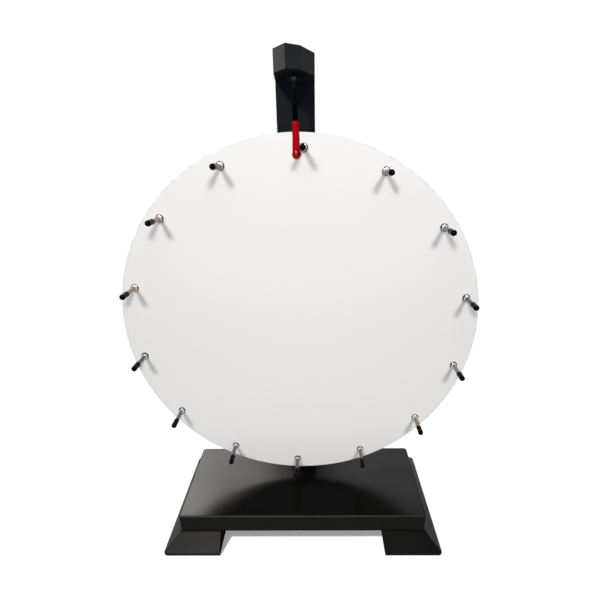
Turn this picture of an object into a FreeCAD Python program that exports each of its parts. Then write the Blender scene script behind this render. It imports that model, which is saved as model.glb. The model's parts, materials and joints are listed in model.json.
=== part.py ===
import FreeCAD, Part
import math
import os

# A tabletop prize wheel: a round board with pegs turns on a post, and a sprung
# flapper that hangs from the post's head clicks against the pegs.
# Millimetres. The origin is on the table under the middle of the feet.
# +X is the viewer's right, +Y points away from the viewer, +Z is up.

# ---- wheel ----
wheel_radius = 228.6
wheel_z = 297.0
wheel_front_y = 3.25
wheel_thickness = 10.0
face_thickness = 0.8
edge_thickness = 0.8
disc_bore_radius = 12.0

# ---- pegs ----
peg_count = 14
peg_circle_radius = 213.3
peg_pitch = 360.0 / peg_count
peg_phase = 2.27
peg_radius = 2.45
peg_reach = 36.0
peg_head_flats = 8.0
peg_head_height = 3.5
peg_washer_radius = 6.0
peg_washer_thickness = 1.0
# (radius, height) round a collar, from its foot to its top
peg_collar_steps = ((4.9, 0.0), (4.9, 1.0), (4.5, 1.5), (4.0, 1.2), (3.6, 2.4), (2.8, 3.0))
cap_radius = 3.4
cap_start = 25.0
cap_end = 40.8

# ---- hub and bearings ----
flange_radius = 40.0
flange_thickness = 3.0
housing_radius = 17.0
housing_end = 31.5
lip_radius = 10.2
lip_depth = 2.5
hub_screw_count = 6
hub_screw_circle = 30.0
hub_screw_radius = 1.8
hub_screw_head_radius = 3.6
hub_screw_length = 9.0
hub_screw_recess_flats = 2.2
hub_screw_recess_depth = 1.2
bearing_bore_radius = 5.0
bearing_outer_radius = 13.0
bearing_width = 8.0
bearing_start = wheel_thickness + lip_depth
inner_race_radius = 7.6
outer_race_radius = 10.4
ball_radius = 2.35
ball_circle_radius = 9.0
ball_count = 7
groove_radius = 2.45
cage_half_width = 3.2
cage_half_thickness = 0.5
circlip_thickness = 1.2
circlip_radius = 13.8
circlip_inner_radius = 11.6
circlip_half_gap = 2.5

# ---- axle ----
axle_radius = 4.98
axle_head_flats = 16.0
axle_head_height = 6.4
axle_head_washer_radius = 7.0
axle_head_washer_thickness = 1.5
axle_washer_radius = 15.0
axle_washer_thickness = 2.0
axle_spacer_radius = 7.2
axle_nut_flats = 17.0
axle_nut_height = 8.0
axle_nut_collar_height = 2.4
axle_nut_collar_radius = 7.7
axle_tail = 15.0
axle_chamfer = 1.0

# ---- post and head ----
post_width = 43.8
post_x = -0.85
post_gap = 35.0
post_thickness = 22.0
post_edge = 0.8
head_bottom_z = 576.4
head_top_z = 598.2
nose_left_x = -6.5
nose_right_x = 7.5
side_left_x = -20.1
side_right_x = 21.2
head_back_left_x = -23.9
head_back_right_x = 21.05
nose_left_reach = 37.3
nose_right_reach = 26.4
side_left_reach = 13.9
side_right_reach = -8.0
head_nose_round = 2.5
head_side_round = 0.8
head_edge = 0.5
relief_depth = 3.0
relief_front_radius = 13.0
relief_reach = 13.8
relief_back_half_width = 19.0

# ---- base ----
board_width = 340.0
board_front_y = -78.5
board_back_y = 66.5
board_bottom_z = 25.0
board_top_z = 52.0
board_back_corner = 5.0
board_front_corner = 2.4
board_edge = 2.2
foot_inner_x = 113.5
foot_top_outer_x = board_width / 2
foot_ground_outer_x = 191.5
foot_top_front_y = -78.9
foot_top_back_y = 78.25
foot_ground_front_y = -98.25
foot_ground_back_y = 98.25
foot_lip_height = 4.0
foot_outer_corner = 5.0
foot_inner_corner = 1.0

# ---- wood screws ----
foot_screw_x = 142.0
foot_screw_y = (-52.0, 42.0)
foot_screw_bury = 10.0
foot_screw_head_radius = 4.5
foot_screw_head_height = 3.0
foot_screw_radius = 2.2
foot_screw_depth = 18.0
post_screw_x = (-13.0, 0.0, 13.0)
post_screw_radius = 2.5
post_screw_head_radius = 5.0
post_screw_depth = 40.0
head_screw_x = (-11.0, 11.0)
head_screw_radius = 2.2
head_screw_head_radius = 4.4
head_screw_length = 52.0
screw_recess_radius = 1.3
screw_recess_depth = 1.8

# ---- flapper ----
flapper_x = 0.6
flapper_y = -18.75
insert_radius = 3.5
insert_top_z = 595.0
stud_radius = 1.98
stud_top_z = 593.0
stud_neck_z = 564.0
stud_neck_radius = 1.7
stud_bottom_z = 560.0
flapper_nut_z = 569.6
flapper_nut_height = 3.2
flapper_nut_flats = 7.0
spring_bottom_z = 551.8
spring_top_z = 564.0
spring_coil_radius = 2.4
spring_wire_radius = 0.45
spring_pitch = 1.0
rod_radius = 1.7
rod_top_z = 557.5
rod_bottom_z = 506.0
tube_radius = 2.9
tip_top_z = 534.5
tip_top_radius = 3.4
tip_neck_z = 516.0
tip_neck_radius = 3.75
tip_bottom_radius = 4.9
tip_bottom_z = 498.4
flapper_lean = 0.95

# ---- fits ----
running_gap = 0.05
hole_gap = 0.1
corner_angle = math.radians(30)

NODES = {}
X_AXIS = FreeCAD.Vector(1, 0, 0)
Y_AXIS = FreeCAD.Vector(0, 1, 0)
Z_AXIS = FreeCAD.Vector(0, 0, 1)


def box(x0, x1, y0, y1, z0, z1):
    """A block between two corners."""
    return Part.makeBox(x1 - x0, y1 - y0, z1 - z0, FreeCAD.Vector(x0, y0, z0))


def rod_y(radius, y0, y1, x=0.0, z=wheel_z):
    """A cylinder along Y. Its ends are measured back from the wheel's front face."""
    base = FreeCAD.Vector(x, wheel_front_y + y0, z)
    return Part.makeCylinder(radius, y1 - y0, base, Y_AXIS)


def rod_z(radius, z0, z1, x, y):
    """A vertical cylinder."""
    return Part.makeCylinder(radius, z1 - z0, FreeCAD.Vector(x, y, z0), Z_AXIS)


def ring_y(outer, inner, y0, y1, x=0.0, z=wheel_z):
    """A flat ring or sleeve along Y."""
    return rod_y(outer, y0, y1, x, z).cut(rod_y(inner, y0 - 1, y1 + 1, x, z))


def hexagon(flats, height, base, axis):
    """A hexagonal prism with its end corners turned off at 30 degrees."""
    corner = flats / math.sqrt(3)
    side = axis.cross(Z_AXIS) if abs(axis.z) < 0.5 else X_AXIS
    other = axis.cross(side)
    points = []
    for i in range(7):
        angle = math.radians(60 * i)
        points.append(base + side * (corner * math.cos(angle)) + other * (corner * math.sin(angle)))
    prism = Part.Face(Part.makePolygon(points)).extrude(axis * height)
    rise = (corner - flats / 2) * math.tan(corner_angle)
    middle = Part.makeCylinder(corner + 0.01, height - 2 * rise, base + axis * rise, axis)
    low = Part.makeCone(flats / 2, corner, rise, base, axis)
    high = Part.makeCone(corner, flats / 2, rise, base + axis * (height - rise), axis)
    return prism.common(middle.fuse([low, high])).removeSplitter()


def revolve(points, centre, axis):
    """Turns an outline of (radius, distance along the axis) points into a solid."""
    side = X_AXIS
    outline = [centre + side * r + axis * d for r, d in points]
    outline.append(outline[0])
    return Part.Face(Part.makePolygon(outline)).revolve(centre, axis, 360)


def ball(radius, centre):
    """A sphere about a point."""
    return Part.makeSphere(radius, centre)


def flat_outline(x0, x1, y0, y1, z):
    """A level rectangle as a closed wire."""
    corners = [(x0, y0), (x1, y0), (x1, y1), (x0, y1), (x0, y0)]
    return Part.makePolygon([FreeCAD.Vector(x, y, z) for x, y in corners])


def edges_at(shape, test):
    """The shape's edges whose middles pass a test."""
    return [e for e in shape.Edges if test(e.CenterOfMass)]


def upright_edges(shape, test):
    """The shape's straight vertical edges whose middles pass a test."""
    return [e for e in edges_at(shape, test) if abs(e.tangentAt(e.FirstParameter).z) > 0.99]


def peg_places():
    """The (x, z) of each peg, clockwise from the one nearest the top."""
    places = []
    for i in range(peg_count):
        angle = math.radians(peg_phase + i * peg_pitch)
        x = peg_circle_radius * math.sin(angle)
        z = wheel_z + peg_circle_radius * math.cos(angle)
        places.append((x, z))
    return places


def keep(name, *solids):
    """Holds one node's solids until everything is written."""
    NODES[name] = solids[0] if len(solids) == 1 else Part.makeCompound(list(solids))


def drill(shape, cutters):
    """Cuts a list of holes out of a shape."""
    return shape.cut(cutters) if cutters else shape


# ---- the turning wheel ----
def hub_screw_places():
    """The (x, z) of each screw in the hub flange."""
    places = []
    for i in range(hub_screw_count):
        angle = math.radians(360.0 * i / hub_screw_count)
        x = hub_screw_circle * math.sin(angle)
        z = wheel_z + hub_screw_circle * math.cos(angle)
        places.append((x, z))
    return places


def make_wheel_board():
    """The disc, the white sheet on its face and the band round its edge."""
    inside = wheel_radius - edge_thickness
    peg_holes = [rod_y(peg_radius + hole_gap, -5, 20, x, z) for x, z in peg_places()]
    screw_holes = []
    for x, z in hub_screw_places():
        end = wheel_thickness + flange_thickness - hub_screw_length
        screw_holes.append(rod_y(hub_screw_radius + running_gap, end, 20, x, z))
    disc = rod_y(inside, face_thickness, wheel_thickness)
    centre_hole = rod_y(disc_bore_radius, face_thickness - 1, wheel_thickness + 1)
    keep("wheel_disc", drill(disc, [centre_hole] + peg_holes + screw_holes))
    keep("face_sheet", drill(rod_y(inside, 0, face_thickness), peg_holes))
    keep("edge_band", ring_y(wheel_radius, inside, 0, wheel_thickness))


def make_pegs():
    """Fourteen bolts put in from behind, each with a collar in front and a rubber cap."""
    washer_end = wheel_thickness + peg_washer_thickness
    caps, collars, washers = [], [], []
    for number, (x, z) in enumerate(peg_places(), start=1):
        shank = rod_y(peg_radius, -peg_reach, washer_end, x, z)
        base = FreeCAD.Vector(x, wheel_front_y + washer_end, z)
        head = hexagon(peg_head_flats, peg_head_height, base, Y_AXIS)
        keep("peg_%02d" % number, shank.fuse(head))

        end = rod_y(cap_radius, -cap_end + cap_radius, -cap_start, x, z)
        centre = FreeCAD.Vector(x, wheel_front_y - cap_end + cap_radius, z)
        cap = end.fuse(ball(cap_radius, centre))
        caps.append(cap.cut(rod_y(peg_radius + running_gap, -peg_reach - hole_gap, 0, x, z)))

        bore = peg_radius + running_gap
        top = peg_collar_steps[-1][1]
        profile = [(bore, 0.0), *peg_collar_steps, (bore, top)]
        collars.append(revolve(profile, FreeCAD.Vector(x, wheel_front_y, z), -Y_AXIS))
        washers.append(
            ring_y(peg_washer_radius, bore + hole_gap, wheel_thickness, washer_end, x, z)
        )
    keep("peg_caps", *caps)
    keep("peg_collars", *collars)
    keep("peg_washers", *washers)


def make_hub():
    """The flange with its bearing housing, its screws and the clip that holds the bearings."""
    back = wheel_thickness + flange_thickness
    bearings_end = bearing_start + 2 * bearing_width
    flange = rod_y(flange_radius, wheel_thickness, back)
    housing = rod_y(housing_radius, wheel_thickness, housing_end)
    lip = rod_y(lip_radius, wheel_thickness - 1, bearing_start + 1)
    pocket = rod_y(bearing_outer_radius, bearing_start, housing_end + 1)
    groove = rod_y(circlip_radius, bearings_end, bearings_end + circlip_thickness)
    body = flange.fuse(housing)
    screws, seats = [], []
    sink = hub_screw_head_radius - hub_screw_radius
    for x, z in hub_screw_places():
        base = FreeCAD.Vector(x, wheel_front_y + back - sink, z)
        cone = Part.makeCone(hub_screw_radius, hub_screw_head_radius, sink, base, Y_AXIS)
        shank = rod_y(hub_screw_radius, back - hub_screw_length, back - sink, x, z)
        floor = FreeCAD.Vector(x, wheel_front_y + back - hub_screw_recess_depth, z)
        recess = hexagon(hub_screw_recess_flats, hub_screw_recess_depth, floor, Y_AXIS)
        screws.append(shank.fuse(cone).cut(recess))
        seats.append(rod_y(hub_screw_radius + running_gap, 0, back + 1, x, z))
        seats.append(cone)
    keep("hub_flange", drill(body, [lip, pocket, groove] + seats))
    keep("hub_screws", *screws)

    clip = ring_y(
        circlip_radius - running_gap,
        circlip_inner_radius,
        bearings_end,
        bearings_end + circlip_thickness,
    )
    end_y = wheel_front_y + post_gap
    gap = box(-circlip_half_gap, circlip_half_gap, 0, end_y, wheel_z - flange_radius, wheel_z)
    keep("hub_circlip", clip.cut(gap))


def make_bearing(name, start):
    """A ball bearing: two races, the balls between them and the cage that spaces them."""
    end = start + bearing_width
    middle = FreeCAD.Vector(0, wheel_front_y + (start + end) / 2, wheel_z)
    track = Part.makeTorus(ball_circle_radius, groove_radius, middle, Y_AXIS)
    inner = ring_y(inner_race_radius, bearing_bore_radius, start, end).cut(track)
    outer = ring_y(bearing_outer_radius, outer_race_radius, start, end).cut(track)
    balls, pockets = [], []
    for i in range(ball_count):
        angle = 2 * math.pi * i / ball_count
        offset = FreeCAD.Vector(math.sin(angle), 0, math.cos(angle)) * ball_circle_radius
        balls.append(ball(ball_radius, middle + offset))
        start_of_hole = middle + offset * 0.7
        pockets.append(Part.makeCylinder(ball_radius + hole_gap, 2 * ball_radius, start_of_hole, offset))
    cage = ring_y(
        ball_circle_radius + cage_half_thickness,
        ball_circle_radius - cage_half_thickness,
        (start + end) / 2 - cage_half_width,
        (start + end) / 2 + cage_half_width,
    )
    keep(name + "_inner_race", inner)
    keep(name + "_outer_race", outer)
    keep(name + "_balls", *balls)
    keep(name + "_cage", drill(cage, pockets))


# ---- the fixed axle ----
def make_axle():
    """The bolt that carries the bearings, with its washers, spacer and locking nut."""
    head_end = bearing_start - axle_head_washer_thickness
    bearings_end = bearing_start + 2 * bearing_width
    washer_start = post_gap - axle_washer_thickness
    post_back = post_gap + post_thickness
    nut_start = post_back + axle_washer_thickness
    bore = axle_radius + hole_gap

    base = FreeCAD.Vector(0, wheel_front_y + head_end - axle_head_height, wheel_z)
    head = hexagon(axle_head_flats, axle_head_height, base, Y_AXIS)
    shank_end = post_back + axle_tail - axle_chamfer
    shank = rod_y(axle_radius, head_end, shank_end)
    tail = FreeCAD.Vector(0, wheel_front_y + shank_end, wheel_z)
    end_radius = axle_radius - axle_chamfer
    taper = Part.makeCone(axle_radius, end_radius, axle_chamfer, tail, Y_AXIS)
    keep("axle_bolt", head.fuse([shank, taper]))

    keep("axle_head_washer", ring_y(axle_head_washer_radius, bore, head_end, bearing_start))
    keep("axle_spacer", ring_y(axle_spacer_radius, bore, bearings_end, washer_start))
    keep("axle_front_washer", ring_y(axle_washer_radius, bore, washer_start, post_gap))
    keep("axle_rear_washer", ring_y(axle_washer_radius, bore, post_back, nut_start))

    base = FreeCAD.Vector(0, wheel_front_y + nut_start, wheel_z)
    nut = hexagon(axle_nut_flats, axle_nut_height, base, Y_AXIS)
    collar_end = nut_start + axle_nut_height + axle_nut_collar_height
    collar = rod_y(axle_nut_collar_radius, nut_start + axle_nut_height / 2, collar_end)
    hole = rod_y(axle_radius + running_gap, nut_start - 1, collar_end + 1)
    keep("axle_nut", nut.fuse(collar).cut(hole))


# ---- the post and its head ----
def screw_up_or_down(radius, head_radius, length, x, y, z, direction):
    """A countersunk wood screw: its flat head lies at z and its point goes along direction."""
    axis = Z_AXIS * direction
    top = FreeCAD.Vector(x, y, z)
    sink = head_radius - radius
    cone = Part.makeCone(head_radius, radius, sink, top, axis)
    point = 2 * radius
    shank = Part.makeCylinder(radius, length - sink - point, top + axis * sink, axis)
    tip = Part.makeCone(radius, radius * 0.2, point, top + axis * (length - point), axis)
    recess = hexagon(2 * screw_recess_radius, screw_recess_depth, top, axis)
    solid = cone.fuse([shank, tip])
    return solid.cut(recess), solid


def make_post(cutters):
    """The upright, bored for the axle and for the screws in its two ends."""
    back = wheel_front_y + post_gap + post_thickness
    post = box(
        post_x - post_width / 2,
        post_x + post_width / 2,
        wheel_front_y + post_gap,
        back,
        board_top_z,
        head_bottom_z,
    )
    corners = upright_edges(post, lambda c: True)
    post = post.makeFillet(post_edge, corners)
    axle_hole = rod_y(axle_radius + 0.2, post_gap - 1, post_gap + post_thickness + 1)
    keep("post", drill(post, [axle_hole] + cutters))


def make_head(cutters):
    """The block on top of the post, with a many-sided nose that overhangs the wheel."""
    back = wheel_front_y + post_gap + post_thickness
    outline = [
        (head_back_left_x, back),
        (side_left_x, wheel_front_y - side_left_reach),
        (nose_left_x, wheel_front_y - nose_left_reach),
        (nose_right_x, wheel_front_y - nose_right_reach),
        (side_right_x, wheel_front_y - side_right_reach),
        (head_back_right_x, back),
    ]
    points = [FreeCAD.Vector(x, y, head_bottom_z) for x, y in outline]
    points.append(points[0])
    block = Part.Face(Part.makePolygon(points)).extrude(Z_AXIS * (head_top_z - head_bottom_z))
    side_y = wheel_front_y - side_right_reach
    noses = edges_at(block, lambda c: c.y < side_y and abs(c.z - head_bottom_z) < 0.01)
    block = block.makeFillet(head_nose_round, noses)
    sides = edges_at(
        block, lambda c: side_y < c.y < back - 0.01 and abs(c.z - head_bottom_z) < 0.01
    )
    block = block.makeFillet(head_side_round, sides)
    rim = edges_at(block, lambda c: abs(c.z - head_top_z) < 0.01)
    block = block.makeFillet(head_edge, rim)

    front = wheel_front_y - relief_reach + relief_front_radius
    relief = rod_z(relief_front_radius, head_bottom_z - 1, head_bottom_z + relief_depth, 0, front)
    post_front = wheel_front_y + post_gap
    corners = [
        (-relief_front_radius, front),
        (relief_front_radius, front),
        (relief_back_half_width, post_front),
        (-relief_back_half_width, post_front),
    ]
    points = [FreeCAD.Vector(x, y, head_bottom_z - 1) for x, y in corners]
    points.append(points[0])
    wedge = Part.Face(Part.makePolygon(points)).extrude(Z_AXIS * (relief_depth + 1))
    insert_hole = rod_z(insert_radius, head_bottom_z - 1, insert_top_z, flapper_x, flapper_y)
    keep("head_block", drill(block, [relief, wedge, insert_hole] + cutters))


# ---- the base ----
def make_board(cutters):
    """The thick board that the post stands on."""
    half = board_width / 2
    board = box(-half, half, board_front_y, board_back_y, board_bottom_z, board_top_z)
    back = upright_edges(board, lambda c: c.y > 0)
    board = board.makeFillet(board_back_corner, back)
    front = upright_edges(board, lambda c: c.y < board_front_y + 1)
    board = board.makeFillet(board_front_corner, front)
    rim = edges_at(board, lambda c: abs(c.z - board_top_z) < 0.01)
    board = board.makeFillet(board_edge, rim)
    keep("base_board", drill(board, cutters))


def make_foot(name, side, cutters):
    """A runner under one end of the board: a low upright lip, then slopes up to the board."""
    x0, x1 = sorted((side * foot_inner_x, side * foot_ground_outer_x))
    top_x0, top_x1 = sorted((side * foot_inner_x, side * foot_top_outer_x))
    front, back = foot_ground_front_y, foot_ground_back_y
    lip = box(x0, x1, front, back, 0, foot_lip_height)
    low = flat_outline(x0, x1, front, back, foot_lip_height)
    high = flat_outline(top_x0, top_x1, foot_top_front_y, foot_top_back_y, board_bottom_z)
    slopes = Part.makeLoft([low, high], True, True)
    plan = box(x0, x1, front, back, 0, board_bottom_z)
    outer = upright_edges(plan, lambda c: abs(c.x) > foot_top_outer_x)
    plan = plan.makeFillet(foot_outer_corner, outer)
    inner = upright_edges(plan, lambda c: abs(abs(c.x) - foot_inner_x) < 0.01)
    plan = plan.makeFillet(foot_inner_corner, inner)
    foot = plan.common(lip.fuse(slopes)).removeSplitter()
    keep(name, drill(foot, cutters))


def make_stand():
    """The base, post and head, with the screws that hold them together."""
    middle_y = wheel_front_y + post_gap + post_thickness / 2
    post_screws, post_holes = [], []
    for x in post_screw_x:
        length = board_top_z - board_bottom_z + post_screw_depth
        screw, hole = screw_up_or_down(
            post_screw_radius, post_screw_head_radius, length, x, middle_y, board_bottom_z, 1
        )
        post_screws.append(screw)
        post_holes.append(hole)
    keep("post_screws", *post_screws)

    head_screws, head_holes = [], []
    for x in head_screw_x:
        screw, hole = screw_up_or_down(
            head_screw_radius,
            head_screw_head_radius,
            head_screw_length,
            x,
            middle_y,
            head_top_z,
            -1,
        )
        head_screws.append(screw)
        head_holes.append(hole)
    keep("head_screws", *head_screws)

    foot_screws, foot_holes = [], []
    for x in (-foot_screw_x, foot_screw_x):
        for y in foot_screw_y:
            seat = foot_screw_bury + foot_screw_head_height
            head = rod_z(foot_screw_head_radius, foot_screw_bury, seat, x, y)
            end = board_bottom_z + foot_screw_depth
            shank = rod_z(foot_screw_radius, seat, end, x, y)
            recess = hexagon(
                2 * screw_recess_radius,
                screw_recess_depth,
                FreeCAD.Vector(x, y, foot_screw_bury),
                Z_AXIS,
            )
            foot_screws.append(head.fuse(shank).cut(recess))
            foot_holes.append(rod_z(foot_screw_radius, seat - 1, end, x, y))
            foot_holes.append(rod_z(foot_screw_head_radius + 0.5, -1, seat, x, y))
    keep("foot_screws", *foot_screws)

    make_board(post_holes + foot_holes)
    make_foot("left_foot", -1, foot_holes)
    make_foot("right_foot", 1, foot_holes)
    make_post(post_holes + head_holes)
    make_head(head_holes)


# ---- the flapper ----
def flapper_rod_shape(radius, z0, z1):
    """A cylinder on the flapper's line."""
    return rod_z(radius, z0, z1, flapper_x, flapper_y)


def make_flapper_mounting():
    """The threaded insert in the head, the stud that hangs from it and its locking nut."""
    bore = stud_radius + running_gap
    insert = flapper_rod_shape(insert_radius, head_bottom_z, insert_top_z)
    keep("flapper_insert", insert.cut(flapper_rod_shape(bore, head_bottom_z - 1, insert_top_z - 1)))
    stud = flapper_rod_shape(stud_radius, stud_neck_z, stud_top_z)
    neck = flapper_rod_shape(stud_neck_radius, stud_bottom_z, stud_neck_z)
    keep("flapper_stud", stud.fuse(neck))
    base = FreeCAD.Vector(flapper_x, flapper_y, flapper_nut_z)
    nut = hexagon(flapper_nut_flats, flapper_nut_height, base, Z_AXIS)
    hole = flapper_rod_shape(bore, flapper_nut_z - 1, flapper_nut_z + flapper_nut_height + 1)
    keep("flapper_nut", nut.cut(hole))


def make_flapper():
    """The close-wound spring, and the rod, sleeve and soft tip that swing on it."""
    height = spring_top_z - spring_bottom_z - 2 * spring_wire_radius
    base = FreeCAD.Vector(flapper_x, flapper_y, spring_bottom_z + spring_wire_radius)
    line = Part.makeHelix(spring_pitch, height, spring_coil_radius)
    line.translate(base)
    start = base + X_AXIS * spring_coil_radius
    slope = spring_pitch / (2 * math.pi * spring_coil_radius)
    section = Part.Circle(start, FreeCAD.Vector(0, 1, slope), spring_wire_radius)
    spring = Part.Wire(line.Edges).makePipeShell([Part.Wire(section.toShape())], True, True)
    keep("flapper_spring", spring)

    rod = flapper_rod_shape(rod_radius, rod_bottom_z, rod_top_z)
    bore = flapper_rod_shape(rod_radius + running_gap, rod_bottom_z - 0.1, rod_top_z + 1)
    tube = flapper_rod_shape(tube_radius, tip_top_z, spring_bottom_z).cut(bore)

    centre_z = tip_bottom_z + tip_bottom_radius
    base = FreeCAD.Vector(flapper_x, flapper_y, centre_z)
    bulb = Part.makeCone(tip_bottom_radius, tip_neck_radius, tip_neck_z - centre_z, base, Z_AXIS)
    waist = FreeCAD.Vector(flapper_x, flapper_y, tip_neck_z)
    neck = Part.makeCone(tip_neck_radius, tip_top_radius, tip_top_z - tip_neck_z, waist, Z_AXIS)
    tip = bulb.fuse([neck, ball(tip_bottom_radius, base)]).cut(bore)

    hinge = FreeCAD.Vector(flapper_x, flapper_y, (stud_bottom_z + rod_top_z) / 2)
    for name, shape in (("flapper_rod", rod), ("flapper_tube", tube), ("flapper_tip", tip)):
        shape.rotate(hinge, Y_AXIS, -flapper_lean)
        keep(name, shape)


def main():
    """Makes every piece and writes one file for each node."""
    make_wheel_board()
    make_pegs()
    make_hub()
    make_bearing("front_bearing", bearing_start)
    make_bearing("rear_bearing", bearing_start + bearing_width)
    make_axle()
    make_stand()
    make_flapper_mounting()
    make_flapper()
    os.makedirs("parts", exist_ok=True)
    for name, shape in NODES.items():
        shape.exportStep("parts/" + name + ".step")


main()
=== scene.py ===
import json
import math

import bmesh
import bpy
from mathutils import Matrix, Vector


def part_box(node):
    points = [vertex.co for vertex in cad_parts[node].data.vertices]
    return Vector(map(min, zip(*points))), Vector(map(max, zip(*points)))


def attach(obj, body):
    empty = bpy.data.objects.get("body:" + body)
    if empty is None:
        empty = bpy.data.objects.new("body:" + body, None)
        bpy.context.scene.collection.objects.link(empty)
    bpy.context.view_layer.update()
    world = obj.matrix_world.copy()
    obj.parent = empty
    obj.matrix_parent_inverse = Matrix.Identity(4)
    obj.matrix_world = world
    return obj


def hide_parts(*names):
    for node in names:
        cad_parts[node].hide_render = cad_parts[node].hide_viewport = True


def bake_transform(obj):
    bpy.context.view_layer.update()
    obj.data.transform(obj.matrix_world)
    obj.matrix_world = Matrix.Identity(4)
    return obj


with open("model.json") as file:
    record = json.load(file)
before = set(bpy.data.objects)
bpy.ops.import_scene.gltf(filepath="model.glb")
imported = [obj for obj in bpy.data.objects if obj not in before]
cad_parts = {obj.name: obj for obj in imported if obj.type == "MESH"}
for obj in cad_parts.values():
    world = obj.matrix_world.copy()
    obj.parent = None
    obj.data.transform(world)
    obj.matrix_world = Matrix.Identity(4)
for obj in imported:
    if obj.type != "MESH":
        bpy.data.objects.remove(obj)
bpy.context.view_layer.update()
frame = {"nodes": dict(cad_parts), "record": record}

MM = 0.001
NODES = frame["nodes"]
TO_VIEWER = Vector((0, -1, 0))
TO_BACK = Vector((0, 1, 0))
UP = Vector((0, 0, 1))
TINY = 0.02 * MM  # the radius of the small flat where a round outline meets its axis


# ---------------------------------------------------------------- places
def middle(node):
    """The centre of a CAD node's box."""
    low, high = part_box(node)
    return (low + high) / 2


WHEEL_LOW, WHEEL_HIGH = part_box("edge_band")
HUB = (WHEEL_LOW + WHEEL_HIGH) / 2
WHEEL_RADIUS = (WHEEL_HIGH.x - WHEEL_LOW.x) / 2
FACE_Y = WHEEL_LOW.y
WHEEL_BACK_Y = WHEEL_HIGH.y
PEG_NODES = sorted(name for name in NODES if name.startswith("peg_") and name[4:].isdigit())


# ---------------------------------------------------------------- materials
WAVE_LENGTH = 0.314  # the distance between the bands of a wave texture whose scale is one


class Paint:
    """Builds one node material around a Principled shader."""

    def __init__(self, name, colour, roughness, metallic=0.0):
        self.material = bpy.data.materials.new(name)
        self.material.use_nodes = True
        self.tree = self.material.node_tree
        self.shader = self.tree.nodes["Principled BSDF"]
        self.set("Base Color", (*colour, 1))
        self.set("Roughness", roughness)
        self.set("Metallic", metallic)
        self.place = self.tree.nodes.new("ShaderNodeTexCoord").outputs["Object"]
        self.height = None
        self.material.diffuse_color = (*colour, 1)

    def set(self, socket, value):
        """Sets one of the shader's inputs to a plain value."""
        self.shader.inputs[socket].default_value = value

    def link(self, output, socket):
        """Feeds one of the shader's inputs from another node."""
        self.tree.links.new(output, self.shader.inputs[socket])

    def stretched(self, scale):
        """The object's coordinates, stretched by a different amount along each axis."""
        node = self.tree.nodes.new("ShaderNodeMapping")
        node.inputs["Scale"].default_value = scale
        self.tree.links.new(self.place, node.inputs["Vector"])
        return node.outputs["Vector"]

    def axis(self, letter):
        """The object's coordinate along one axis, in metres."""
        node = self.tree.nodes.new("ShaderNodeSeparateXYZ")
        self.tree.links.new(self.place, node.inputs["Vector"])
        return node.outputs[letter]

    def noise(self, size, detail=3.0, where=None, rough=0.5):
        """Noise whose features are about size across, in metres."""
        node = self.tree.nodes.new("ShaderNodeTexNoise")
        node.inputs["Scale"].default_value = 1.0 / size
        node.inputs["Detail"].default_value = detail
        node.inputs["Roughness"].default_value = rough
        self.tree.links.new(where or self.place, node.inputs["Vector"])
        return node.outputs["Fac"]

    def cells(self, size):
        """Distance to scattered points that are about size apart."""
        node = self.tree.nodes.new("ShaderNodeTexVoronoi")
        node.inputs["Scale"].default_value = 1.0 / size
        self.tree.links.new(self.place, node.inputs["Vector"])
        return node.outputs["Distance"]

    def rings(self, pitch, direction, distortion=0.0):
        """Even bands along one axis, such as the marks that turning leaves."""
        node = self.tree.nodes.new("ShaderNodeTexWave")
        node.wave_type = "BANDS"
        node.bands_direction = direction
        node.inputs["Scale"].default_value = WAVE_LENGTH / pitch
        node.inputs["Distortion"].default_value = distortion
        self.tree.links.new(self.place, node.inputs["Vector"])
        return node.outputs["Fac"]

    def maths(self, operation, first, second=None):
        """One arithmetic step on values from other nodes and plain numbers."""
        node = self.tree.nodes.new("ShaderNodeMath")
        node.operation = operation
        for socket, value in zip(node.inputs, (first, second)):
            if isinstance(value, float):
                socket.default_value = value
            elif value is not None:
                self.tree.links.new(value, socket)
        return node.outputs["Value"]

    def turn_about(self, centre):
        """How far round a level axis through centre a place lies: 0 to 1 twice a turn."""
        above = self.maths("SUBTRACT", self.axis("Z"), centre.z)
        angle = self.maths("ARCTAN2", self.axis("X"), above)
        return self.maths("FRACT", self.maths("MULTIPLY", angle, -1 / math.pi))

    def colours(self, value, stops):
        """A colour picked along a row of (place, colour) stops."""
        node = self.tree.nodes.new("ShaderNodeValToRGB")
        while len(node.color_ramp.elements) < len(stops):
            node.color_ramp.elements.new(0.5)
        for element, (place, colour) in zip(node.color_ramp.elements, stops):
            element.position = place
            element.color = (*colour, 1)
        self.tree.links.new(value, node.inputs["Fac"])
        return node.outputs["Color"]

    def ramp(self, value, low, high, start=0.0, end=1.0):
        """Carries a value from start..end onto low..high."""
        node = self.tree.nodes.new("ShaderNodeMapRange")
        node.inputs["From Min"].default_value = start
        node.inputs["From Max"].default_value = end
        node.inputs["To Min"].default_value = low
        node.inputs["To Max"].default_value = high
        self.tree.links.new(value, node.inputs["Value"])
        return node.outputs["Result"]

    def mix(self, value, first, second):
        """A colour that goes from first to second with value."""
        node = self.tree.nodes.new("ShaderNodeMix")
        node.data_type = "RGBA"
        self.tree.links.new(value, node.inputs["Factor"])
        for socket, colour in ((node.inputs["A"], first), (node.inputs["B"], second)):
            if isinstance(colour, tuple):
                socket.default_value = (*colour, 1)
            else:
                self.tree.links.new(colour, socket)
        return node.outputs["Result"]

    def bump(self, value, depth, strength=1.0):
        """Adds relief of a given depth in metres on top of any that is there already."""
        node = self.tree.nodes.new("ShaderNodeBump")
        node.inputs["Distance"].default_value = depth
        node.inputs["Strength"].default_value = strength
        self.tree.links.new(value, node.inputs["Height"])
        if self.height:
            self.tree.links.new(self.height, node.inputs["Normal"])
        self.height = node.outputs["Normal"]
        self.link(self.height, "Normal")


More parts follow.
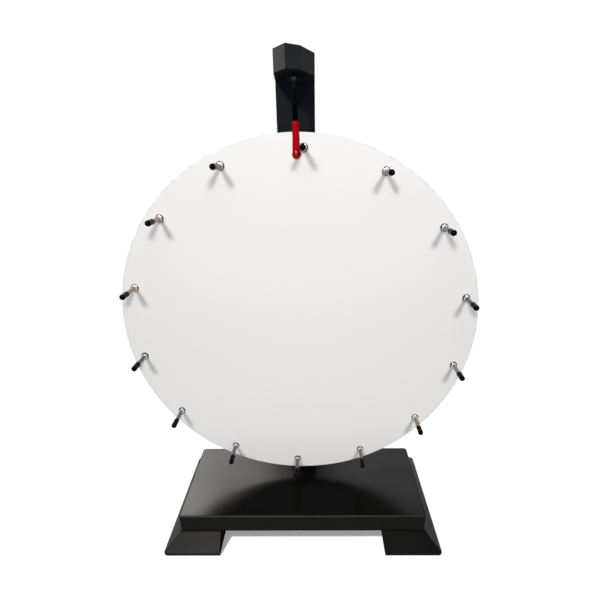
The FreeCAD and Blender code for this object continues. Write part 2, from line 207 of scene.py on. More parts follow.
def painted_edge_highlight(paint):
    """Painted highlight: a lighter line along the board's rounded top front edge, standing in for a
    reflection.
    """
    low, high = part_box("base_board")
    depth, height = paint.axis("Y"), paint.axis("Z")
    front = paint.ramp(depth, 1.0, 0.0, low.y + 1.2 * MM, low.y + 2.4 * MM)
    over = paint.ramp(height, 0.0, 1.0, high.z - 1.5 * MM, high.z - 0.7 * MM)
    under = paint.ramp(height, 1.0, 0.0, high.z + 0.1 * MM, high.z + 0.3 * MM)
    return paint.maths("MULTIPLY", paint.maths("MULTIPLY", front, over), under)


def matt_inner_sides(paint):
    """The inner sides of the feet, below the board, which are sprayed thinly."""
    inner_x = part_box("right_foot")[0].x
    board_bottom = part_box("base_board")[0].z
    across = paint.maths("ABSOLUTE", paint.axis("X"))
    inside = paint.ramp(across, 1.0, 0.0, inner_x + 0.5 * MM, inner_x + 0.7 * MM)
    below = paint.ramp(paint.axis("Z"), 1.0, 0.0, board_bottom - 0.2 * MM, board_bottom)
    return paint.maths("MULTIPLY", inside, below)


def black_lacquer():
    """Sprayed satin lacquer: orange peel, wiping haze, a little dust and a painted highlight along the
    front edge.
    """
    dark = (0.0036, 0.0034, 0.0033)
    paint = Paint("black_lacquer", dark, 0.2)
    paint.set("Specular IOR Level", 0.03)
    haze = paint.noise(0.07, 5.0, paint.stretched((1.0, 2.6, 1.0)))
    dust = paint.ramp(paint.cells(0.0042), 1.0, 0.0, 0.02, 0.07)
    tone = paint.mix(dust, dark, (0.012, 0.012, 0.012))
    # Painted highlight: the board's rounded top front edge is coloured lighter here.
    paint.link(paint.mix(painted_edge_highlight(paint), tone, (0.026, 0.025, 0.023)), "Base Color")
    gloss = paint.ramp(haze, 0.19, 0.29, 0.3, 0.75)
    paint.link(paint.mix(matt_inner_sides(paint), gloss, (0.95, 0.95, 0.95)), "Roughness")
    paint.bump(paint.noise(0.006, 1.0), 0.00003, 0.35)
    paint.bump(paint.noise(0.0011, 2.0), 0.000008, 0.25)
    return paint.material


def white_laminate():
    """Dry-erase sheet: glossy, nearly flat, with the faint haze of wiped-off ink."""
    paint = Paint("white_laminate", (0.86, 0.855, 0.855), 0.24)
    paint.set("Specular IOR Level", 0.45)
    wiped = paint.noise(0.11, 2.0, paint.stretched((0.7, 1.0, 2.2)), 0.45)
    grain = paint.noise(0.0015, 2.0)
    paint.link(paint.mix(wiped, (0.865, 0.857, 0.855), (0.855, 0.85, 0.85)), "Base Color")
    paint.link(paint.ramp(wiped, 0.28, 0.36), "Roughness")
    paint.bump(paint.noise(0.03, 1.0), 0.00004, 0.2)
    paint.bump(grain, 0.000006, 0.3)
    return paint.material


def white_board():
    """The satin back of the wheel's board."""
    paint = Paint("white_board", (0.8, 0.8, 0.79), 0.5)
    scuffs = paint.noise(0.03, 6.0, paint.stretched((1.0, 1.0, 4.0)), 0.6)
    paint.link(paint.mix(scuffs, (0.82, 0.82, 0.81), (0.76, 0.76, 0.75)), "Base Color")
    paint.link(paint.ramp(scuffs, 0.42, 0.6), "Roughness")
    paint.bump(paint.noise(0.0009, 3.0), 0.00002, 0.4)
    return paint.material


def white_edge():
    """Smooth edge banding."""
    paint = Paint("white_edge", (0.82, 0.82, 0.815), 0.35)
    rub = paint.noise(0.012, 4.0)
    paint.link(paint.mix(rub, (0.84, 0.84, 0.835), (0.79, 0.79, 0.785)), "Base Color")
    paint.link(paint.ramp(rub, 0.28, 0.44), "Roughness")
    paint.bump(paint.noise(0.0018, 2.0), 0.00001, 0.3)
    return paint.material


def metal(name, colour, dark, roughness, turn_axis, pitch=0.00035):
    """Plated or turned steel with fine rings round turn_axis and faint stains."""
    paint = Paint(name, colour, roughness, 1.0)
    stain = paint.noise(0.004, 4.0)
    paint.link(paint.mix(stain, colour, dark), "Base Color")
    paint.link(paint.ramp(stain, roughness * 0.8, roughness * 1.5), "Roughness")
    paint.bump(paint.rings(pitch, turn_axis, 0.6), 0.000006, 0.35)
    paint.bump(paint.noise(0.0006, 2.0), 0.000003, 0.3)
    return paint.material


def nickel_with_painted_light():
    """Bright nickel of the pegs: painted reflection colours that drift round the wheel, real stains, and
    a painted highlight on each collar's top.
    """
    paint = Paint("nickel_steel", (0.4, 0.34, 0.31), 0.15, 1.0)
    mauve_brown = (0.26, 0.15, 0.14)
    # Painted reflection: the rods' colour changes with their angle round the hub; stains are mixed in
    # below.
    painted_reflection_and_stain = paint.colours(
        paint.turn_about(HUB),
        [
            (0.0, mauve_brown),
            (0.13, (0.3, 0.2, 0.13)),
            (0.27, (0.42, 0.27, 0.14)),
            (0.42, (0.36, 0.28, 0.19)),
            (0.55, (0.12, 0.14, 0.15)),
            (0.7, (0.16, 0.2, 0.25)),
            (0.85, (0.27, 0.16, 0.22)),
            (1.0, mauve_brown),
        ],
    )
    stain = paint.noise(0.004, 4.0)
    painted_reflection_and_stain = paint.mix(paint.ramp(stain, 0.0, 0.5), painted_reflection_and_stain, (0.06, 0.05, 0.05))
    # Painted highlight: a band 2.5 to 4.4 mm in front of the face, over the collars' tops, is coloured
    # pale and made less metallic.
    depth = paint.axis("Y")
    inner = paint.ramp(depth, 0.0, 1.0, FACE_Y - 4.4 * MM, FACE_Y - 3.7 * MM)
    outer = paint.ramp(depth, 1.0, 0.0, FACE_Y - 2.9 * MM, FACE_Y - 2.5 * MM)
    painted_crown_highlight = paint.maths("MULTIPLY", inner, outer)
    paint.link(paint.mix(painted_crown_highlight, painted_reflection_and_stain, (0.86, 0.84, 0.81)), "Base Color")
    paint.link(paint.ramp(painted_crown_highlight, 1.0, 0.3), "Metallic")
    paint.link(paint.ramp(stain, 0.12, 0.26), "Roughness")
    paint.bump(paint.rings(0.00035, "Y", 0.6), 0.000006, 0.35)
    paint.bump(paint.noise(0.0006, 2.0), 0.000003, 0.3)
    return paint.material


def black_oxide():
    """Oiled black steel of the spring, stud and screws."""
    paint = Paint("black_oxide", (0.01, 0.01, 0.012), 0.34, 0.3)
    paint.set("Specular IOR Level", 0.3)
    worn = paint.noise(0.0025, 5.0)
    bare = paint.ramp(worn, 0.0, 1.0, 0.5, 0.8)
    paint.link(paint.mix(bare, (0.008, 0.008, 0.01), (0.024, 0.024, 0.028)), "Base Color")
    paint.link(paint.ramp(worn, 0.26, 0.5), "Roughness")
    paint.bump(paint.noise(0.0004, 3.0), 0.00001, 0.3)
    return paint.material


def soft_black():
    """Black vinyl of the caps and the sleeve, with a moulded skin."""
    paint = Paint("soft_black", (0.003, 0.003, 0.003), 0.3)
    paint.set("Specular IOR Level", 0.05)
    skin = paint.noise(0.0022, 4.0)
    paint.link(paint.mix(skin, (0.001, 0.001, 0.0011), (0.0018, 0.0017, 0.0018)), "Base Color")
    paint.link(paint.ramp(skin, 0.1, 0.2), "Roughness")
    paint.bump(paint.noise(0.0009, 3.0), 0.00002, 0.3)
    return paint.material


def red_vinyl():
    """Dipped red vinyl: soft gloss, slightly uneven where the dip ran."""
    paint = Paint("red_vinyl", (0.5, 0.002, 0.007), 0.3)
    paint.set("Specular IOR Level", 0.1)
    runs = paint.noise(0.005, 3.0, paint.stretched((2.2, 2.2, 0.7)))
    paint.link(paint.mix(runs, (0.62, 0.0025, 0.008), (0.52, 0.0015, 0.006)), "Base Color")
    paint.link(paint.ramp(runs, 0.08, 0.14), "Roughness")
    paint.bump(runs, 0.00006, 0.3)
    paint.bump(paint.noise(0.0008, 2.0), 0.000012, 0.3)
    return paint.material


def floor_paper():
    """The pale sweep that the stand is on."""
    paint = Paint("floor_paper", (0.9, 0.9, 0.9), 0.7)
    fibre = paint.noise(0.004, 4.0)
    paint.link(paint.mix(fibre, (0.91, 0.91, 0.91), (0.89, 0.89, 0.89)), "Base Color")
    paint.bump(fibre, 0.00005, 0.2)
    return paint.material


LACQUER = black_lacquer()
LAMINATE = white_laminate()
BOARD = white_board()
EDGE = white_edge()
NICKEL_WITH_PAINTED_LIGHT = nickel_with_painted_light()
ZINC = metal("zinc_steel", (0.62, 0.63, 0.65), (0.46, 0.47, 0.48), 0.3, "Y", 0.0005)
BEARING = metal("bearing_steel", (0.72, 0.72, 0.73), (0.6, 0.6, 0.62), 0.12, "Y")
CAGE = metal("cage_steel", (0.5, 0.5, 0.5), (0.4, 0.4, 0.41), 0.36, "Y")
HUB_METAL = metal("hub_aluminium", (0.66, 0.67, 0.68), (0.56, 0.57, 0.58), 0.34, "Y", 0.0008)
OXIDE = black_oxide()
SOFT_BLACK = soft_black()
RED = red_vinyl()

FINISHES = {
    "black_lacquer": LACQUER,
    "white_face": LAMINATE,
    "white_board": BOARD,
    "white_edge": EDGE,
    "peg_steel": NICKEL_WITH_PAINTED_LIGHT,
    "zinc_steel": ZINC,
    "black_steel": OXIDE,
    "bearing_steel": BEARING,
    "cage_steel": CAGE,
    "hub_metal": HUB_METAL,
    "black_vinyl": SOFT_BLACK,
    "red_vinyl": RED,
}


# ---------------------------------------------------------------- mesh building
RIDERS = {
    name: [NODES[node] for node in nodes]
    for name, nodes in frame["record"]["behaviour"]["bodies"].items()
}


def add_piece(name, mesh, body, slot, *nodes, flat_from=38):
    """Puts a mesh in the scene as a piece of a body, in place of some CAD nodes."""
    mesh.shade_smooth()
    mesh.set_sharp_from_angle(angle=math.radians(flat_from))
    piece = bpy.data.objects.new(name, mesh)
    bpy.context.scene.collection.objects.link(piece)
    mesh.materials.append(FINISHES[slot])
    if nodes:
        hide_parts(*nodes)
    if body:
        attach(piece, body)
        RIDERS[body].append(piece)
    return piece


def even_shading(piece):
    """Keeps wide flat faces flat beside their rounded edges."""
    modifier = piece.modifiers.new("even_shading", "WEIGHTED_NORMAL")
    modifier.keep_sharp = True
    return piece


def mesh_of(name, work):
    """Turns a bmesh into a mesh with its faces pointing out."""
    bmesh.ops.recalc_face_normals(work, faces=work.faces)
    mesh = bpy.data.meshes.new(name)
    work.to_mesh(mesh)
    work.free()
    return mesh


def add_rings(work, rings, ends=True, loop=False):
    """Joins a row of rings of points with four-sided faces."""
    rows = [[work.verts.new(point) for point in ring] for ring in rings]
    pairs = list(zip(rows, rows[1:]))
    if loop:
        pairs.append((rows[-1], rows[0]))
    count = len(rows[0])
    for one, two in pairs:
        for i in range(count):
            j = (i + 1) % count
            work.faces.new((one[i], one[j], two[j], two[i]))
    if ends and not loop:
        work.faces.new(rows[0])
        work.faces.new(rows[-1])


def frame_at(base, axis):
    """A matrix that carries local +Z onto axis, and the origin to base."""
    return Matrix.Translation(base) @ UP.rotation_difference(axis).to_matrix().to_4x4()


def turned_rings(profile, base, axis, steps=40):
    """Rings for a round shape from (radius, distance along the axis) points."""
    place = frame_at(base, axis)
    rings = []
    for radius, distance in profile:
        ring = []
        for i in range(steps):
            angle = 2 * math.pi * i / steps
            ring.append(place @ Vector((radius * math.cos(angle), radius * math.sin(angle), distance)))
        rings.append(ring)
    return rings


def turned(name, profile, base, axis, steps=40, hollow=False):
    """A solid round mesh, or with hollow a sleeve whose outline closes on itself."""
    work = bmesh.new()
    add_rings(work, turned_rings(profile, base, axis, steps), ends=not hollow, loop=hollow)
    return mesh_of(name, work)


def arc(centre_radius, centre_distance, radius, start, end, steps=6):
    """Outline points round part of a circle, angles in degrees from straight out."""
    points = []
    for i in range(steps + 1):
        angle = math.radians(start + (end - start) * i / steps)
        points.append(
            (centre_radius + radius * math.cos(angle), centre_distance + radius * math.sin(angle))
        )
    return points


def hexagon_rings(flats, height, base, axis):
    """Rings for a nut or bolt head whose corners are turned off at both ends."""
    place = frame_at(base, axis)
    circle = flats / 2 * 0.96  # where the turned-off corners start, just inside the flats
    steps = 48

    def ring(reach, distance_of):
        points = []
        for i in range(steps):
            angle = 2 * math.pi * i / steps
            nearest = (math.degrees(angle) + 30) % 60 - 30
            radius = reach(math.radians(nearest))
            x, y = radius * math.cos(angle), radius * math.sin(angle)
            points.append(place @ Vector((x, y, distance_of(radius))))
        return points

    def hexagonal(angle):
        return flats / 2 / math.cos(angle)

    def round_of(radius):
        return lambda angle: radius

    def drop(radius):
        return (radius - circle) * math.tan(math.radians(30))

    return [
        ring(round_of(TINY), lambda r: 0.0),
        ring(round_of(circle), lambda r: 0.0),
        ring(hexagonal, drop),
        ring(hexagonal, lambda r: height - drop(r)),
        ring(round_of(circle), lambda r: height),
        ring(round_of(TINY), lambda r: height),
    ]


def threaded_rings(radius, pitch, start, end, base, axis, around=24):
    """Rings for a threaded rod: the radius rises and falls along a helix."""
    place = frame_at(base, axis)
    depth = 0.61 * pitch
    crest = 0.12
    per_turn = 10
    count = max(2, int((end - start) / pitch * per_turn))
    rings = []
    for k in range(count + 1):
        distance = start + (end - start) * k / count
        fade = min(1.0, (distance - start) / pitch, (end - distance) / pitch)
        ring = []
        for i in range(around):
            turn = (distance / pitch - i / around) % 1.0
            tooth = abs(2 * turn - 1)
            tooth = min(1.0, max(0.0, (tooth - crest) / (1 - 2 * crest)))
            reach = radius - depth * tooth * max(0.0, fade) - (1 - max(0.0, fade)) * depth
            angle = 2 * math.pi * i / around
            ring.append(place @ Vector((reach * math.cos(angle), reach * math.sin(angle), distance)))
        rings.append(ring)
    return rings


def softened(node, width):
    """A copy of a CAD piece's mesh with its sharp outer edges rounded a little."""
    source = NODES[node]
    work = bmesh.new()
    work.from_mesh(source.data)
    work.transform(source.matrix_world)
    bmesh.ops.remove_doubles(work, verts=work.verts, dist=TINY / 10)
    bmesh.ops.dissolve_limit(
        work, angle_limit=math.radians(1), verts=work.verts, edges=work.edges, delimit={"NORMAL"}
    )
    sharp = [
        edge
        for edge in work.edges
        if edge.is_manifold and edge.is_convex and edge.calc_face_angle() > math.radians(30)
    ]
    bmesh.ops.bevel(
        work,
        geom=sharp,
        offset=width,
        offset_type="OFFSET",
        segments=3,
        profile=0.5,
        affect="EDGES",
        clamp_overlap=False,
    )
    return mesh_of(node + "_softened", work)


# ---------------------------------------------------------------- the stand
def make_stand():
    """The lacquered board, feet, post and head, each with its edges softened."""
    pieces = []
    for name, node, width in (
        ("lacquered_board", "base_board", 0.5 * MM),
        ("left_runner", "left_foot", 0.7 * MM),
        ("right_runner", "right_foot", 0.7 * MM),
        ("lacquered_post", "post", 0.4 * MM),
        ("faceted_head", "head_block", 0.4 * MM),
    ):
        mesh = softened(node, width)
        pieces.append(even_shading(add_piece(name, mesh, "stand", "black_lacquer", node, flat_from=30)))
    return pieces


# ---------------------------------------------------------------- the wheel
def make_wheel():
    """The face sheet, the board and the band round the edge, each with softened rims."""
    face_low, face_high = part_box("face_sheet")
    disc_low, disc_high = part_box("wheel_disc")
    radius = (face_high.x - face_low.x) / 2
    soft = 0.3 * MM
    steps = 256
    face = [(TINY, 0)] + arc(radius - soft, soft, soft, -90, 0)
    face += [(radius, face_high.y - FACE_Y), (TINY, face_high.y - FACE_Y)]
    base = Vector((HUB.x, FACE_Y, HUB.z))
    mesh = turned("glossy_face", face, base, TO_BACK, steps)
    even_shading(add_piece("glossy_face", mesh, "wheel", "white_face", "face_sheet"))

    depth = disc_high.y - disc_low.y
    back = [(TINY, 0), (radius, 0)] + arc(radius - soft, depth - soft, soft, 0, 90) + [(TINY, depth)]
    base = Vector((HUB.x, disc_low.y, HUB.z))
    mesh = turned("wheel_board", back, base, TO_BACK, steps)
    even_shading(add_piece("wheel_board", mesh, "wheel", "white_board", "wheel_disc"))

    depth = WHEEL_BACK_Y - FACE_Y
    outer = WHEEL_RADIUS
    inner = radius
    band = arc(outer - soft, soft, soft, -90, 0) + arc(outer - soft, depth - soft, soft, 0, 90)
    band += [(inner, depth), (inner, 0)]
    base = Vector((HUB.x, FACE_Y, HUB.z))
    mesh = turned("edge_banding", band, base, TO_BACK, steps, hollow=True)
    add_piece("edge_banding", mesh, "wheel", "white_edge", "edge_band")


def collar_profile(bore):
    """Outline of a flat-based dome round the rod."""
    rim, rim_height, rounding, height = 4.9 * MM, 0.9 * MM, 2.0 * MM, 3.0 * MM
    dome = [(bore, 0.0), (rim, 0.0)]
    dome += arc(rim - rounding, rim_height, rounding, 0, 82, 10)
    return dome + [(bore, height)]


def cap_profile(bore, start, end):
    """Outline of a soft cap with a rounded mouth, slack sides and a round end."""
    outer, lip = 3.4 * MM, 0.35 * MM
    cap = [(bore, start + lip)]
    cap += arc(bore + lip, start + lip, lip, 180, 270, 3)
    cap += arc(outer - lip, start + lip, lip, -90, 0, 4)
    cap += [(outer - 0.12 * MM, start + 2.2 * MM), (outer - 0.1 * MM, end - 6 * MM)]
    return cap + arc(TINY, end - outer, outer, 0, 89.5, 12)


def make_peg_rod(name, radius, back_y):
    """One peg's rod, with its hexagon head behind the wheel. Gives where it meets the face."""
    low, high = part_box(name)
    base = Vector((middle(name).x, FACE_Y, middle(name).z))
    reach = FACE_Y - low.y
    back = back_y - FACE_Y
    bevel = 0.5 * MM
    work = bmesh.new()
    rod = [(TINY, -back), (radius, -back), (radius, reach - bevel), (radius - bevel, reach)]
    add_rings(work, turned_rings(rod + [(TINY, reach)], base, TO_VIEWER, 32))
    head_base = Vector((base.x, back_y, base.z))
    add_rings(work, hexagon_rings(high.z - low.z, high.y - back_y, head_base, TO_BACK))
    piece = "peg_rod_" + name[4:]
    add_piece(piece, mesh_of(piece, work), "wheel", "peg_steel", name)
    return base


def make_pegs():
    """The pegs' rods, and their domed collars and rubber caps as one piece each."""
    radius = 2.45 * MM
    bore = radius + 0.02 * MM
    cap_low, cap_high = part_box("peg_caps")
    back_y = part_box("peg_washers")[1].y
    collar = collar_profile(bore)
    cap = cap_profile(bore, FACE_Y - cap_high.y, FACE_Y - cap_low.y)
    collars, caps = bmesh.new(), bmesh.new()
    for name in PEG_NODES:
        base = make_peg_rod(name, radius, back_y)
        add_rings(collars, turned_rings(collar, base, TO_VIEWER, 36), loop=True)
        add_rings(caps, turned_rings(cap, base, TO_VIEWER, 36))
    add_piece("domed_collars", mesh_of("domed_collars", collars), "wheel", "peg_steel", "peg_collars")
    add_piece("soft_caps", mesh_of("soft_caps", caps), "wheel", "black_vinyl", "peg_caps")


# ---------------------------------------------------------------- the flapper
def line_of(node):
    """The two end points of a long round CAD piece."""
    low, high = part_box(node)
    place = NODES[node].matrix_world
    points = [place @ vertex.co for vertex in NODES[node].data.vertices]
    bottom = [point for point in points if point.z < low.z + MM]
    top = [point for point in points if point.z > high.z - MM]
    return sum(bottom, Vector()) / len(bottom), sum(top, Vector()) / len(top)


def round_piece(name, profile, base, axis, body, slot, node, steps=40, hollow=False):
    """A turned mesh as a piece."""
    mesh = turned(name, profile, base, axis, steps, hollow)
    return add_piece(name, mesh, body, slot, node)


def make_stud():
    """The threaded stud that hangs from the head, with a plain neck inside the spring."""
    low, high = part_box("flapper_stud")
    spring_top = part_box("flapper_spring")[1].z
    base = Vector((middle("flapper_stud").x, middle("flapper_stud").y, 0))
    radius = (high.x - low.x) / 2
    neck = radius * 0.85
    bevel = 0.3 * MM
    work = bmesh.new()
    add_rings(work, threaded_rings(radius, 0.7 * MM, spring_top, high.z, base, UP))
    stub = [(TINY, low.z), (neck - bevel, low.z), (neck, low.z + bevel)]
    stub += [(neck, spring_top), (TINY, spring_top)]
    add_rings(work, turned_rings(stub, base, UP, 24))
    add_piece("threaded_stud", mesh_of("threaded_stud", work), "stand", "black_steel", "flapper_stud")


def make_spring():
    """The close-wound spring between the stud and the rod."""
    low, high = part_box("flapper_spring")
    base = Vector((middle("flapper_stud").x, middle("flapper_stud").y, 0))
    wire = 0.44 * MM
    coil = (high.x - low.x) / 2 - wire
    pitch = 1.0 * MM
    rise = high.z - low.z - 2 * wire
    around, section = 28, 10
    steps = int(rise / pitch * around)
    rings = []
    for k in range(steps + 1):
        angle = 2 * math.pi * k / around
        out = Vector((math.cos(angle), math.sin(angle), 0))
        centre = base + out * coil + UP * (low.z + wire + rise * k / steps)
        turn = [2 * math.pi * i / section for i in range(section)]
        rings.append([centre + out * (wire * math.cos(a)) + UP * (wire * math.sin(a)) for a in turn])
    work = bmesh.new()
    add_rings(work, rings)
    spring = add_piece("coil_spring", mesh_of("coil_spring", work), None, "black_steel", "flapper_spring")
    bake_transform(spring)


def make_flapper():
    """The rod, the sleeve and the soft tip that swing on the spring."""
    bottom, top = line_of("flapper_rod")
    way = (top - bottom).normalized()
    rod_low, rod_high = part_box("flapper_rod")
    tip_low, tip_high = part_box("flapper_tip")
    tube_low, tube_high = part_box("flapper_tube")
    length = rod_high.z - rod_low.z
    radius = (rod_high.y - rod_low.y) / 2
    bevel = 0.4 * MM
    rod = [(TINY, 0), (radius, 0), (radius, length - bevel), (radius - bevel, length), (TINY, length)]
    round_piece("flapper_core", rod, bottom, way, "flapper", "black_steel", "flapper_rod", 24)

    def along(height):
        return height - rod_low.z

    outer = (tube_high.y - tube_low.y) / 2
    bore = radius + 0.03 * MM
    lip = 0.4 * MM
    start, end = along(tube_low.z), along(tube_high.z)
    tube = [(bore, start), (outer - lip, start)]
    tube += arc(outer - lip, start + lip, lip, -90, 0, 4)[1:]
    tube += arc(outer - lip, end - lip, lip, 0, 90, 4)
    tube += [(bore, end)]
    round_piece(
        "black_sleeve", tube, bottom, way, "flapper", "black_vinyl", "flapper_tube", hollow=True
    )

    wide = (tip_high.y - tip_low.y) / 2
    narrow = wide * 0.7
    start, end = along(tip_low.z), along(tip_high.z)
    tip = arc(TINY, start + wide, wide, -89.5, 24, 16)
    ball_radius, ball_end = tip[-1]
    steps = 10
    for step in range(1, steps):
        share = step / steps
        smooth = 1 - (1 - share) ** 1.9
        tip.append((ball_radius + (narrow - ball_radius) * smooth, ball_end + (end - ball_end) * share))
    tip += arc(narrow - lip, end - lip, lip, 0, 90, 4)
    inset = 1.2 * MM
    tip += [(bore, end), (bore, end - inset), (TINY, end - inset)]
    return round_piece("red_tip", tip, bottom, way, "flapper", "red_vinyl", "flapper_tip", 48)


# ---------------------------------------------------------------- the axle's threaded end
def make_axle_bolt():
    """The axle bolt, with the thread that shows beyond its nut."""
    low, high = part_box("axle_bolt")
    head_washer_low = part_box("axle_head_washer")[0].y
    base = Vector((HUB.x, 0, HUB.z))
    radius = 4.98 * MM
    pitch = 1.5 * MM
    thread_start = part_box("axle_nut")[0].y
    work = bmesh.new()
    flats = high.z - low.z
    head = Vector((HUB.x, low.y, HUB.z))
    add_rings(work, hexagon_rings(flats, head_washer_low - low.y, head, TO_BACK))
    shank = [(TINY, head_washer_low), (radius, head_washer_low), (radius, thread_start)]
    shank += [(TINY, thread_start)]
    add_rings(work, turned_rings(shank, base, TO_BACK, 40))
    add_rings(work, threaded_rings(radius, pitch, thread_start, high.y, base, TO_BACK, 36))
    mesh = mesh_of("axle_bolt_threaded", work)
    add_piece("axle_bolt_threaded", mesh, "stand", "zinc_steel", "axle_bolt")


# ---------------------------------------------------------------- CAD nodes that stay in view
def finish_cad_nodes():
    """Gives every CAD node the finish of its slot and smooth round faces."""
    for part in frame["record"]["subparts"]:
        node = NODES[part["node"]]
        node.data.materials.clear()
        node.data.materials.append(FINISHES[part["material_slot"]])
        node.data.shade_smooth()
        node.data.set_sharp_from_angle(angle=math.radians(32))
        if not node.hide_render:
            even_shading(node)


# ---------------------------------------------------------------- floor, light and camera
def make_floor():
    """A pale round table top under the stand, which doesn't throw light back up."""
    work = bmesh.new()
    bmesh.ops.create_circle(work, cap_ends=True, segments=96, radius=0.5)
    floor = bpy.data.objects.new("floor", mesh_of("floor", work))
    bpy.context.scene.collection.objects.link(floor)
    floor.data.materials.append(floor_paper())
    floor.visible_diffuse = False
    return floor


def collection_of(name, pieces):
    """A collection, outside the scene, that holds some objects."""
    group = bpy.data.collections.new(name)
    for piece in pieces:
        group.objects.link(piece)
    return group


def limit(light, lit, casting=None):
    """Limits what a light shines on, and which objects shade it."""
    light.light_linking.receiver_collection = collection_of(light.name + "_lit", lit)
    if casting:
        light.light_linking.blocker_collection = collection_of(light.name + "_casting", casting)


def aim(light, direction):
    """Turns a light so that it shines back along a direction."""
    light.rotation_euler = direction.to_track_quat("Z", "Y").to_euler()


def add_light(name, kind, energy, direction, distance=3.0, target=Vector((0, 0, 0))):
    """A light that shines from a direction and is not itself in view."""
    data = bpy.data.lights.new(name, kind)
    data.energy = energy
    light = bpy.data.objects.new(name, data)
    bpy.context.scene.collection.objects.link(light)
    light.location = target + direction * distance
    light.visible_camera = False
    aim(light, direction)
    return light


WHITE = (1, 1, 1)


def add_panel(name, direction, distance, width, height, radiance, target, colour=WHITE):
    """A soft rectangular light of a given brightness."""
    energy = radiance * math.pi * width * height
    light = add_light(name, "AREA", energy, direction, distance, target)
    light.data.shape = "RECTANGLE"
    light.data.size = width
    light.data.size_y = height
    light.data.color = colour
    return light


def toward(azimuth, elevation):
    """A direction: azimuth 0 is the viewer's side and 90 the right, elevation above level."""
    a, e = math.radians(azimuth), math.radians(elevation)
    return Vector((math.sin(a) * math.cos(e), -math.cos(a) * math.cos(e), math.sin(e)))


def make_world(seen, left, right):
    """A white backdrop, around a room that is brighter on the left than on the right."""
    world = bpy.data.worlds.new("studio")
    world.use_nodes = True
    tree = world.node_tree
    sky = tree.nodes["Background"]
    sky.inputs["Color"].default_value = (1, 1, 1, 1)
    ray = tree.nodes.new("ShaderNodeLightPath")
    way = tree.nodes.new("ShaderNodeTexCoord")
    split = tree.nodes.new("ShaderNodeSeparateXYZ")
    room = tree.nodes.new("ShaderNodeMapRange")
    room.inputs["From Min"].default_value = -1
    room.inputs["From Max"].default_value = 1
    room.inputs["To Min"].default_value = left
    room.inputs["To Max"].default_value = right
    level = tree.nodes.new("ShaderNodeMix")
    level.inputs["B"].default_value = seen
    tree.links.new(way.outputs["Generated"], split.inputs["Vector"])
    tree.links.new(split.outputs["X"], room.inputs["Value"])
    tree.links.new(ray.outputs["Is Camera Ray"], level.inputs["Factor"])
    tree.links.new(room.outputs["Result"], level.inputs["A"])
    tree.links.new(level.outputs["Result"], sky.inputs["Strength"])
    bpy.context.scene.world = world


def add_panels(rows, target, lit):
    """Panels at given directions and distances from a target, which light some pieces only."""
    for name, azimuth, elevation, distance, width, height, radiance, colour in rows:
        direction = toward(azimuth, elevation)
        limit(add_panel(name, direction, distance, width, height, radiance, target, colour), lit)


def light_floor(floor, base):
    """A sun from the front left that the base shades, and an even light with no shadows."""
    sun = add_light("floor_sun", "SUN", 3.1, toward(-41, 58))
    sun.data.angle = math.radians(5)
    limit(sun, [floor], base)
    fill = add_light("floor_fill", "SUN", 1.06, UP)
    fill.data.use_shadow = False
    limit(fill, [floor])


def light_wheel(wheel, turning):
    """Two keys whose shadows cross below each peg, and a soft panel close above."""
    warm = (1.0, 0.99, 0.985)
    for name, azimuth in (("wheel_key_left", -17), ("wheel_key_right", 17)):
        key = add_panel(name, toward(azimuth, 29), 3.0, 0.45, 0.45, 9.5, wheel + UP * 0.09, warm)
        key.data.spread = math.radians(68)
        limit(key, turning, turning)
    top = add_panel("wheel_top", toward(0, 60), 0.85, 0.5, 0.4, 1.5, wheel, (1.0, 0.96, 0.93))
    limit(top, turning, turning)
    behind = (
        ("wheel_behind_left", -145, 30, 3.0, 1.4, 1.4, 6.5, WHITE),
        ("wheel_behind_right", 150, 30, 3.0, 1.4, 1.4, 6.5, WHITE),
    )
    add_panels(behind, wheel, turning)


def light_upper_stand(wheel, upper, column, red_tip):
    """The keys again for what is above the wheel, and panels round the post and the head."""
    small, large = 0.22, 0.6
    keys = (
        ("stand_key_left", -17, 29, 3.0, small, small, 9.8 / small**2, WHITE),
        ("stand_key_right", 17, 29, 3.0, large, large, 9.8 / large**2, WHITE),
    )
    add_panels(keys, wheel, upper)
    glint = add_panel("tip_glint", toward(-15, 24), 3.0, 0.4, 0.4, 300, wheel)
    glint.visible_diffuse = False
    limit(glint, [red_tip])
    warm = (1.0, 0.95, 0.88)
    cool = (0.86, 0.93, 1.0)
    blue = (0.45, 0.6, 1.0)
    around = (
        ("post_key", -17, 29, 3.0, 0.35, 0.35, 480, cool),
        ("side_left", -123, 10, 1.8, 0.9, 0.9, 3.0, warm),
        ("side_right", 72, 10, 1.8, 0.7, 0.7, 6.5, cool),
        ("back_right", 133, 10, 1.8, 0.7, 0.7, 0.8, cool),
        ("below_front", 5, -12, 1.5, 1.0, 1.0, 12.0, blue),
    )
    add_panels(around, wheel, column)
    post = column[:1]
    add_panels((("post_behind", -172, 25, 3.0, 1.6, 1.4, 30, WHITE),), wheel, post)


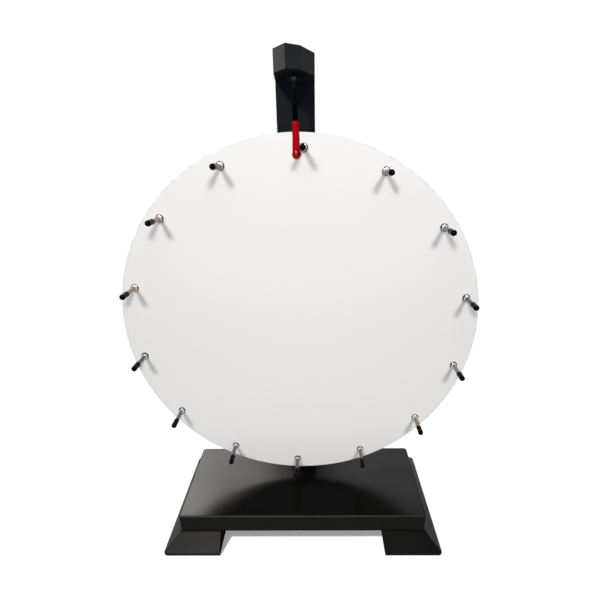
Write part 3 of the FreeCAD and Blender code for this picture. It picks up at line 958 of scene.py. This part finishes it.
def light_base(base):
    """Panels behind that the satin board mirrors, and dim ones in front for its feet."""
    warm = (1.0, 0.97, 0.92)
    around = (
        ("behind_left", -156, 43, 2.2, 0.85, 0.95, 31, warm),
        ("far_left", -147, 43, 2.2, 0.5, 0.95, 26, warm),
        ("behind_right", 163, 43, 2.2, 0.85, 0.8, 7.5, WHITE),
        ("front_left", -20, 34, 2.2, 0.7, 0.7, 20, warm),
        ("front_right", 15, 34, 2.2, 0.5, 0.5, 3, WHITE),
        ("front_low", -5, 8, 1.5, 1.0, 0.3, 24, warm),
    )
    add_panels(around, middle("base_board"), base)


def make_lights(floor, stand, red_tip):
    """Separate soft lights for the floor, the wheel, the upper stand and the base."""
    base, column = stand[:3], stand[3:]
    upper = RIDERS["flapper"] + [piece for piece in RIDERS["stand"] if piece not in base]
    wheel = Vector((HUB.x, FACE_Y, HUB.z))
    light_floor(floor, base)
    light_wheel(wheel, RIDERS["wheel"])
    light_upper_stand(wheel, upper, column, red_tip)
    light_base(base)
    make_world(seen=1.02, left=0.13, right=0.06)


def make_camera():
    """The viewpoint: in front, a little right of the middle, above the wheel's centre."""
    pitch, yaw, roll = math.radians(24.32), math.radians(-0.66), math.radians(0.63)
    ahead = Vector(
        (math.sin(yaw) * math.cos(pitch), math.cos(yaw) * math.cos(pitch), -math.sin(pitch))
    )
    level = Vector((math.cos(yaw), -math.sin(yaw), 0))
    below = ahead.cross(level)
    right = level * math.cos(roll) + below * math.sin(roll)
    down = below * math.cos(roll) - level * math.sin(roll)
    data = bpy.data.cameras.new("camera")
    data.sensor_width = 36
    data.lens = 25.09
    data.shift_x = -0.0211
    data.shift_y = 0.0677
    data.clip_start = 0.02
    camera = bpy.data.objects.new("camera", data)
    bpy.context.scene.collection.objects.link(camera)
    place = Matrix.Translation(Vector((0.0218, -0.4999, 0.5059)))
    camera.matrix_world = place @ Matrix((right, -down, -ahead)).transposed().to_4x4()
    bpy.context.scene.camera = camera
    bpy.context.scene.view_settings.view_transform = "Standard"


stand_pieces = make_stand()
make_wheel()
make_pegs()
make_stud()
make_spring()
soft_tip = make_flapper()
make_axle_bolt()
finish_cad_nodes()
make_lights(make_floor(), stand_pieces, soft_tip)
make_camera()
